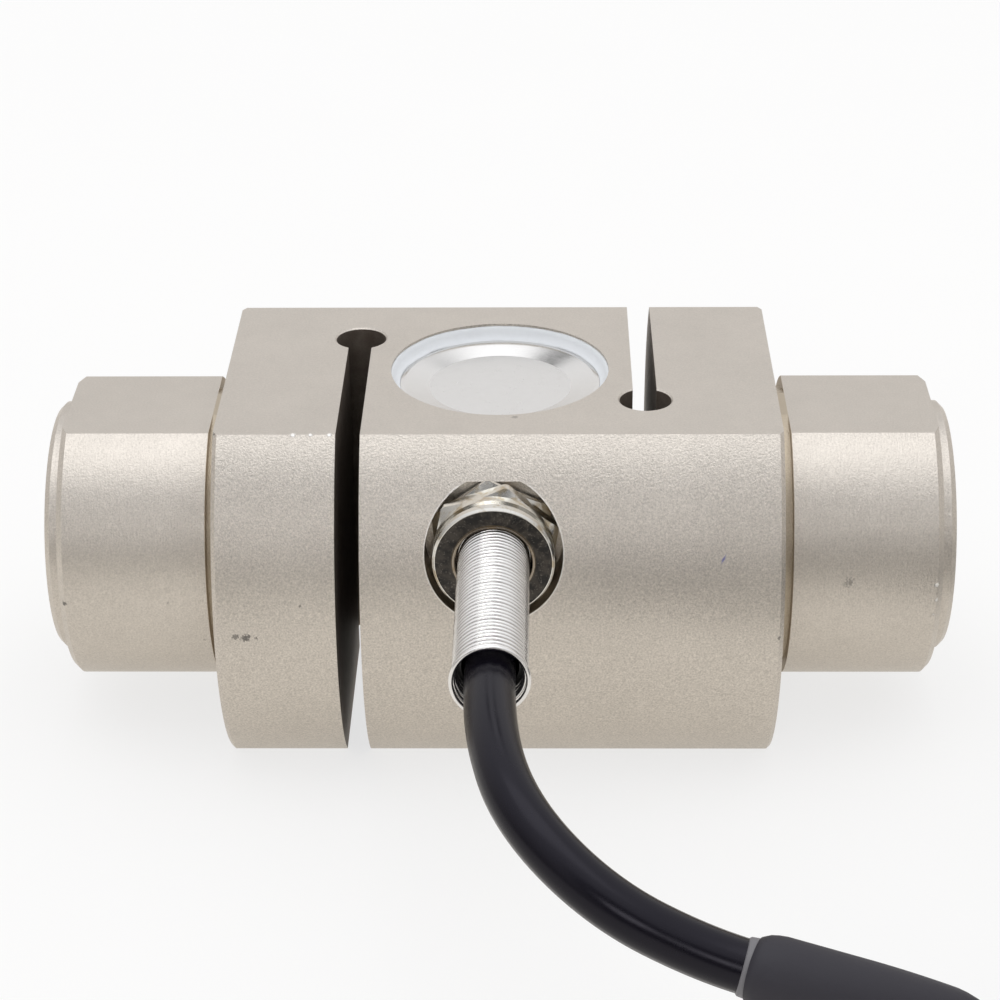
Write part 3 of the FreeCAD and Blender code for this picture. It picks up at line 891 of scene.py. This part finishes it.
def body_finish():
    f = Finish("plated_body", Metallic=1.0)
    x, y, z = f.parts(f.place)
    nx, ny, nz = f.parts(f.direction)
    height = z - axis_height
    flat = (nz * nz).rise(0.9, 0.98)
    boss = abs(x) > groove_end
    around = height.math("ARCTAN2", height, y)
    turned = f.noise(1.0, 2.0, 0.6, f.join(x * 4.0, around * 14.0, 0.0))
    grain = f.noise(4.0, 2.0, 0.7)
    speck = f.noise(7.0, 1.0, 0.5)
    cloud = f.noise(0.10, 3.0, 0.55)
    small_cloud = f.noise(0.45, 2.0, 0.5)
    inside = cut_faces(f, x, y, nx, nz)
    from_gland = from_gland_axis(f)
    # Painted shade: the wall of the gland's recess is darkened to a tan.
    recess_shade = (from_gland < recess_wall) * (y < wall_cut) * ((ny * ny) < 0.5)
    # Painted highlight: a pale ring round the recess's edge, where its chamfer would catch the light.
    painted_rim_highlight = from_gland.rise(*highlight_inner_edge) - from_gland.rise(*highlight_outer_edge)
    painted_rim_highlight = painted_rim_highlight * (y < highlight_cut) * (ny < -0.3)
    # Painted shade: the groove between the barrel and each boss is darkened to a tan.
    groove_shade = (abs(x) > groove_start) * (abs(x) < groove_end)
    dirt = marks_on(f, smudges, small_cloud * 0.5 + grain * 0.5)
    # Chips: dented by the bump, and painted near white as a painted glint on their edges.
    chipped_and_glinting = marks_on(f, [chip + (1.0,) for chip in chips], grain * 0.3 + 0.35)
    stain = 1.0 - abs(f.distance(ring_stain) - stain_radius).rise(0.0, 0.7)
    blasted = (1.0 - flat) * (1.0 - boss * 0.35)
    tone = 1.0 + (cloud - 0.5) * 0.12 + (small_cloud - 0.5) * 0.06
    tone = tone + blasted * (grain - 0.5) * 1.05 + boss * (1.0 - flat) * (turned - 0.5) * 0.16
    tone = tone + flat * (grain - 0.5) * 0.36 - stain * 0.05
    colour = f.brightened(nickel, tone)
    colour = f.blend(painted_rim_highlight * 0.6, colour, rgb(0.86, 0.84, 0.80))
    colour = f.blend(groove_shade * 0.6, colour, painted_shade_tan)
    colour = f.blend(recess_shade * 0.55, colour, painted_shade_tan)
    colour = f.blend(dirt, colour, soot)
    colour = f.blend(blue_tick(x, y, z) * 0.75, colour, ink_blue)
    colour = f.blend(chipped_and_glinting * 0.9, colour, rgb(0.95, 0.93, 0.90))
    colour = f.blend(inside * (0.75 + 0.25 * small_cloud), colour, slot_wall_brown)
    roughness = 0.37 + (grain - 0.5) * 0.16 + inside * 0.15 + dirt * 0.2 - flat * 0.02
    relief_height = grain * (1.0 - 0.62 * flat) + turned * boss * (1.0 - flat) * 0.8 + speck * 0.3
    relief_height = relief_height - chipped_and_glinting * 1.5 + inside * small_cloud * 2.0
    f.bump(relief_height, 0.055, 1.0)
    return f.wear(Base_Color=colour, Roughness=roughness, Metallic=1.0 - inside * 0.55 - dirt * 0.6)


plated_body = body_finish()
print("nodes in the body's finish:", len(plated_body.tree.nodes))

# %% [markdown]
# The other metals are variations on plated or polished metal. Each has its own grain: a drawn wire
# has streaks along it, a pressed cover has faint circles, a turned gland has rings.

# %% Other metals
cover_disc_radius = 9.4
# Radii inside which the gland is painted dark brown: painted shade in its bore and on its lip.
bore_shade_radii = (5.0, 5.5)


def cover_finish():
    f = Finish("polished_cover", Metallic=1.0)
    x, y, _ = f.parts(f.place)
    radius = f.distance((0.0, 0.0, 0.0), f.join(x, y, 0.0))
    rings = f.noise(1.0, 2.0, 0.5, f.join(radius * 2.5, 0.0, 0.0))
    scuffs = f.noise(0.8, 4.0, 0.6)
    fine = f.noise(6.0, 2.0, 0.5)
    colour = f.brightened(rgb(0.73, 0.72, 0.705), 1.0 + (scuffs - 0.5) * 0.08)
    f.bump(rings * 0.4 + fine * 0.25 + scuffs, 0.005, 0.5)
    disc = radius < cover_disc_radius
    return f.wear(Base_Color=colour, Roughness=0.07 + disc * 0.16 + scuffs * 0.08 + fine * 0.04)


def gland_finish():
    f = Finish("plated_gland", Metallic=1.0)
    _, y, _ = f.parts(f.place)
    rings = f.noise(1.0, 2.0, 0.5, f.join(y * 6.0, 0.0, 0.0))
    smear = f.noise(0.7, 4.0, 0.6)
    fine = f.noise(7.0, 2.0, 0.5)
    colour = f.blend(smear.rise(0.50, 0.68), rgb(0.70, 0.685, 0.645), rgb(0.52, 0.45, 0.34))
    from_axis = from_gland_axis(f)
    # Painted shade: the gland turns dark brown towards its bore.
    colour = f.blend((1.0 - from_axis.rise(*bore_shade_radii)) * 0.8, colour, rgb(0.17, 0.12, 0.07))
    f.bump(rings * 0.5 + fine * 0.4, 0.008, 0.5)
    return f.wear(Base_Color=colour, Roughness=0.10 + smear * 0.14 + fine * 0.05)


def spring_finish():
    f = Finish("bright_wire", Metallic=1.0)
    x, y, z = f.parts(f.place)
    drawn = f.noise(1.0, 2.0, 0.5, f.join(x * 0.8, y * 12.0, z * 0.8))
    smear = f.noise(0.5, 3.0, 0.6)
    colour = f.brightened(rgb(0.78, 0.765, 0.75), 1.0 + (smear - 0.5) * 0.16)
    f.bump(drawn, 0.006, 0.4)
    return f.wear(Base_Color=colour, Roughness=0.14 + drawn * 0.10 + smear * 0.06)


def strand_finish():
    f = Finish("tinned_strands", Metallic=1.0)
    fine = f.noise(5.0, 2.0, 0.5)
    colour = f.brightened(rgb(0.70, 0.68, 0.65), 0.9 + fine * 0.2)
    f.bump(fine, 0.01, 0.5)
    return f.wear(Base_Color=colour, Roughness=0.25 + fine * 0.15)


polished_cover, plated_gland = cover_finish(), gland_finish()
bright_wire, tinned_strands = spring_finish(), strand_finish()
print("metals ready")

# %% [markdown]
# Plastics and rubbers differ mostly in gloss and in how fine their surface is. One function makes
# them all: a tone that wanders a little, a fine skin for the bump, and handling marks that dull the
# gloss here and there.

# %% Plastics and rubbers
def soft_finish(name, colour, roughness, skin=0.01, skin_scale=6.0, tone=0.12, **constants):
    f = Finish(name, **constants)
    wander = f.noise(0.35, 3.0, 0.6)
    fine = f.noise(skin_scale, 2.0, 0.5)
    shade = f.brightened(rgb(*colour), 1.0 + (wander - 0.5) * tone + (fine - 0.5) * tone)
    f.bump(fine + wander * 0.5, skin, 0.6)
    dulled = roughness + (wander - 0.5) * 0.12 + (fine - 0.5) * 0.08
    return f.wear(Base_Color=shade, Roughness=dulled)


jacket_gloss = {"Specular_IOR_Level": 0.26, "Specular_Tint": rgb(0.90, 0.87, 1.0)}
grey_gloss = {"skin_scale": 8.0, "Specular_IOR_Level": 0.35}
jacket = soft_finish("cable_jacket", (0.0036, 0.0030, 0.0060), 0.25, skin=0.003, **jacket_gloss)
grey_shrink = soft_finish("grey_shrink", (0.030, 0.028, 0.036), 0.60, skin=0.02, **grey_gloss)
cut_shrink = soft_finish("cut_shrink", (0.17, 0.165, 0.175), 0.5, skin=0.01)
black_shrink = soft_finish("black_shrink", (0.012, 0.012, 0.013), 0.42, skin=0.015)
liner_plastic = soft_finish("liner_plastic", (0.006, 0.006, 0.007), 0.2, skin=0.03, skin_scale=1.2)
tie_nylon = soft_finish("tie_nylon", (0.016, 0.016, 0.017), 0.38, skin=0.006)
seal_rubber = soft_finish("seal_rubber", (0.020, 0.019, 0.018), 0.55, skin=0.015, skin_scale=5.0)
silicone = soft_finish("silicone", (0.79, 0.815, 0.84), 0.38, skin=0.02, skin_scale=1.5, tone=0.05)
foam_finish = soft_finish("pad_foam", (0.70, 0.69, 0.64), 0.8, skin=0.06, skin_scale=3.0)
insulation_colours = {
    "red": (0.52, 0.030, 0.022),
    "black": (0.014, 0.014, 0.015),
    "green": (0.020, 0.21, 0.060),
    "white": (0.74, 0.73, 0.70),
}
insulation = {
    colour: soft_finish("insulation_" + colour, values, 0.4, skin=0.004)
    for colour, values in insulation_colours.items()
}


def face_ring_finish():
    """Dark ring in the nut's face: matt, with glinting specks."""
    f = Finish("face_ring")
    from_axis = from_gland_axis(f)
    specks = f.noise(3.6, 2.0, 0.7).rise(0.58, 0.70)
    wander = f.noise(0.9, 3.0, 0.5)
    inner_line = 1.0 - abs(from_axis - 5.0).rise(0.1, 0.35)
    colour = f.blend(wander.rise(0.35, 0.65), rgb(0.014, 0.012, 0.010), rgb(0.060, 0.050, 0.040))
    colour = f.blend(specks * 0.4, colour, rgb(0.28, 0.26, 0.23))
    colour = f.blend(inner_line * 0.5, colour, rgb(0.30, 0.22, 0.12))
    f.bump(specks + wander, 0.03, 0.8)
    return f.wear(Base_Color=colour, Roughness=0.5 - specks * 0.15, Metallic=0.35 + specks * 0.4)


face_ring = face_ring_finish()

# %% [markdown]
# Inside the pockets are the parts that make the cell work: foil gauges on the web, a small board
# with trimming resistors, and fine wires. They are out of sight, yet each gets the look it has.

# %% Finishes inside
grid_half_length, grid_half_width = 3.2, 2.2
board_middle = 6.4
pads_from, tinned_from = (1.9, 2.1), (0.68, 0.72)
core_edges = ((-1.3, "black"), (0.0, "green"), (1.3, "white"))


def gauge_finish():
    """Amber film over a fine metal grid."""
    f = Finish("gauge_film", Coat_Weight=0.4)
    x, y, _ = f.parts(f.place)
    lines = ((x + y) * 7.0).math("SINE", (x + y) * 7.0).rise(-0.1, 0.1)
    field = (abs(x) < grid_half_length) * (abs(y) < grid_half_width)
    colour = f.blend(lines * field, rgb(0.50, 0.235, 0.055), rgb(0.55, 0.50, 0.42))
    f.bump(lines * field, 0.01, 0.5)
    return f.wear(Base_Color=colour, Roughness=0.35 + lines * 0.1)


def board_finish():
    """Green board with tinned pads along both sides."""
    f = Finish("green_board")
    x, y, _ = f.parts(f.place)
    columns = (x * 2.4).math("SINE", x * 2.4).rise(0.2, 0.5)
    rows = abs(y - board_middle).rise(*pads_from)
    pads = columns * rows
    weave = f.noise(3.0, 2.0, 0.5)
    green = f.brightened(rgb(0.030, 0.16, 0.065), 0.85 + weave * 0.3)
    colour = f.blend(pads, green, rgb(0.6, 0.59, 0.56))
    f.bump(pads + weave * 0.2, 0.02, 0.5)
    return f.wear(Base_Color=colour, Roughness=0.45 - pads * 0.15, Metallic=pads * 0.9)


def resistor_finish():
    """Black chips with tinned ends."""
    f = Finish("chip_resistor")
    _, y, _ = f.parts(f.place)
    ends = abs(y - board_middle).rise(*tinned_from)
    fine = f.noise(6.0, 2.0, 0.5)
    colour = f.blend(ends, rgb(0.02, 0.02, 0.022), rgb(0.62, 0.61, 0.59))
    f.bump(fine + ends, 0.01, 0.5)
    return f.wear(Base_Color=colour, Roughness=0.5 - fine * 0.15, Metallic=ends * 0.9)


def inner_lead_finish():
    """The four cores, told apart by their place side by side."""
    f = Finish("inner_cores")
    x, _, _ = f.parts(f.place)
    colour = rgb(*insulation_colours["red"])
    for edge, name in core_edges:
        colour = f.blend(x > edge, colour, rgb(*insulation_colours[name]))
    fine = f.noise(5.0, 2.0, 0.5)
    f.bump(fine, 0.006, 0.5)
    return f.wear(Base_Color=colour, Roughness=0.38 + fine * 0.12)


gauge_film, green_board = gauge_finish(), board_finish()
chip_resistor, inner_cores = resistor_finish(), inner_lead_finish()
enamel = soft_finish("enamelled_wire", (0.30, 0.075, 0.020), 0.25, skin=0.004)
print("inside finishes ready")

# %% [markdown]
# The solids that stay in view get their finish in their own material slot. The pieces built above
# take the place of their solids, which stay in the model only for its physics.

# %% Dressing the solids
solid_finishes = {
    "body": plated_body,
    "top_cover": polished_cover,
    "bottom_cover": polished_cover,
    "top_strain_gauge": gauge_film,
    "bottom_strain_gauge": gauge_film,
    "top_terminal_strip": green_board,
    "bottom_terminal_strip": green_board,
    "board_pad": foam_finish,
    "trim_board": green_board,
    "trim_resistors": chip_resistor,
    "inner_leads": inner_cores,
    "bridge_wires": enamel,
    "gland_washer": seal_rubber,
    "gland_body": plated_gland,
    "gland_grommet": seal_rubber,
    "gland_nut": plated_gland,
    "gland_face_ring": face_ring,
    "guard_liner": liner_plastic,
    "cable_entry": jacket,
}
for name, finish in solid_finishes.items():
    for holder in nodes[name].material_slots:
        holder.material = finish.material
print("dressed solids:", len(solid_finishes))

# %% [markdown]
# Every piece rides on the part's one body and takes its finish. Where a piece stands for a solid,
# that solid is hidden.

# %% Pieces that take a solid's place
def place_piece(piece, finish, slot, *replaced):
    piece.data.materials.clear()
    piece.data.materials.append(finish.material)
    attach(piece, "root")
    if replaced:
        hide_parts(*replaced)


place_piece(signal_cable, jacket, "cable_jacket", "cable", "cable_coil", "cable_tail")
place_piece(shrink_sleeve, grey_shrink, "grey_sleeve", "cable_sleeve")
place_piece(glued_edge, cut_shrink, "grey_sleeve")
place_piece(end_sleeve, black_shrink, "black_plastic", "end_sleeve")
place_piece(spring, bright_wire, "spring_steel", "spring_guard")
for piece, end in zip(beads, ("top", "bottom")):
    place_piece(piece, silicone, "sealant", end + "_sealant")
for piece in threads:
    place_piece(piece, plated_body, "body_steel")
for number, tie in enumerate(ties, start=1):
    place_piece(tie, tie_nylon, "black_plastic", "coil_tie_%d" % number)
for colour, core in cores.items():
    place_piece(core, insulation[colour], colour + "_insulation", "lead_" + colour)
    place_piece(bare_ends[colour], tinned_strands, "tinned_copper")
place_piece(bare_ends["drain"], tinned_strands, "tinned_copper", "shield_drain")

# %% [markdown]
# The cell lies on a plain pale floor. Seen straight on, floor and backdrop are plain white, and a
# soft shadow stays under the object. Making the floor white with strong lamps would burn out the
# metal, so part of its white is its own for rays from the camera.

# %% Floor
floor_half, floor_drop = 1500.0, 0.02
own_white, own_white_mirrored = 0.72, 0.70


def white_floor():
    f = Finish("white_floor", Roughness=0.7)
    speckle = f.noise(0.02, 2.0, 0.5)
    f.wear(Base_Color=f.brightened(rgb(0.86, 0.85, 0.83), 0.98 + speckle * 0.04))
    path = f.node("ShaderNodeLightPath")
    seen, mirrored = (Value(f, path.outputs[kind]) for kind in ("Is Camera Ray", "Is Glossy Ray"))
    tint = f.blend(seen, rgb(1.0, 0.965, 0.905), rgb(1, 1, 1))
    glow = f.node("ShaderNodeEmission", None, {"Color": tint, "Strength": 1.0})
    factor = seen * own_white + mirrored * own_white_mirrored
    shaders = {0: factor, 1: f.surface.outputs[0], 2: glow.outputs[0]}
    mix = f.node("ShaderNodeMixShader", None, shaders)
    f.feed(f.tree.nodes["Material Output"].inputs["Surface"], mix.outputs[0])
    return f


quarters = ((-1, -1), (1, -1), (1, 1), (-1, 1))
floor_corners = [Vector((x * floor_half, y * floor_half, -floor_drop)) for x, y in quarters]
floor = mesh_piece("floor", floor_corners, [(0, 1, 2, 3)], smooth=False)
floor.data.materials.append(white_floor().material)
print("floor: %.1f m across" % (2 * floor_half * MM))

# %% [markdown]
# The room is a sky of soft light that brightens towards the ceiling, paler behind the cell than on
# the side where one stands to look at it. Polished metal shows what surrounds it, so a bright window
# and two dark panels stand behind the cell. A small bright lamp in a dark surround stands in front,
# which draws the long highlight on the smooth cable and leaves the rough metal as it was. Lamps of
# real size would do the same with more noise, so only one is used: a wide soft one overhead, which
# gives the shadow under the cell. The camera itself sees plain white.

# %% Room
front_light, back_light = (0.30, 1.0), (0.70, 0.57)
lamp_toward = (-0.10, -0.90, 0.43)
lamp_aside, lamp_strength, lamp_shade = 0.12, 4.0, 0.92
window_strength, panel_shade = 0.4, 0.88


def band(value, opens, closes):
    """1 between two soft edges and 0 outside them."""
    return value.rise(*opens) * (1.0 - value.rise(*closes))


def room():
    world = bpy.data.worlds.new("room")
    world.use_nodes = True
    bpy.context.scene.world = world
    f = Nodes(world.node_tree)
    toward = f.node("ShaderNodeTexCoord").outputs["Generated"]
    x, y, z = f.parts(toward)
    up = z.math("MAXIMUM", z, 0.0)
    in_front, behind = (low + up * gain for low, gain in (front_light, back_light))
    level = in_front + (behind - in_front) * y.rise(-0.3, 0.4)
    aside = abs(x / y)
    back_half = y > 0.0
    window = (1.0 - aside.rise(0.10, 0.14)) * band(z, (0.64, 0.68), (0.76, 0.80))
    panels = band(aside, (0.11, 0.14), (0.28, 0.32)) * band(z, (0.57, 0.60), (0.69, 0.72))
    level = level * (1.0 - panels * back_half * panel_shade) + window * back_half * window_strength
    dot_product = {"operation": "DOT_PRODUCT"}
    near = f.node("ShaderNodeVectorMath", dot_product, {0: toward, 1: lamp_toward})
    shade = Value(f, near.outputs["Value"]).rise(0.88, 0.95)
    lamp = 1.0 - abs(x / y - lamp_aside).rise(0.15, 0.28)
    lamp = lamp * band(z, (0.31, 0.37), (0.48, 0.56)) * (y < 0.0)
    level = level * (1.0 - shade * lamp_shade) + lamp * lamp_strength
    seen = Value(f, f.node("ShaderNodeLightPath").outputs["Is Camera Ray"])
    background = f.tree.nodes["Background"]
    f.feed(background.inputs["Strength"], level * (1.0 - seen) + seen)
    tint = f.blend(z.rise(0.0, 0.8), rgb(1.0, 0.97, 0.94), rgb(0.985, 0.995, 1.02))
    f.feed(background.inputs["Color"], f.blend(seen, tint, rgb(1, 1, 1)))
    return world


world = room()
lamp_data = bpy.data.lights.new("softbox", "AREA")
lamp_data.shape = "RECTANGLE"
lamp_data.size = 0.7
lamp_data.size_y = 0.5
lamp_data.energy = 0.85
lamp_data.color = (0.97, 0.985, 1.0)
lamp = bpy.data.objects.new("softbox", lamp_data)
lamp.location = (-0.05, -0.05, 0.85)
bpy.context.scene.collection.objects.link(lamp)
print("nodes in the room:", len(world.node_tree.nodes))

# %% [markdown]
# The last cell only prints a closing line.

# %% Closing line
print("done")
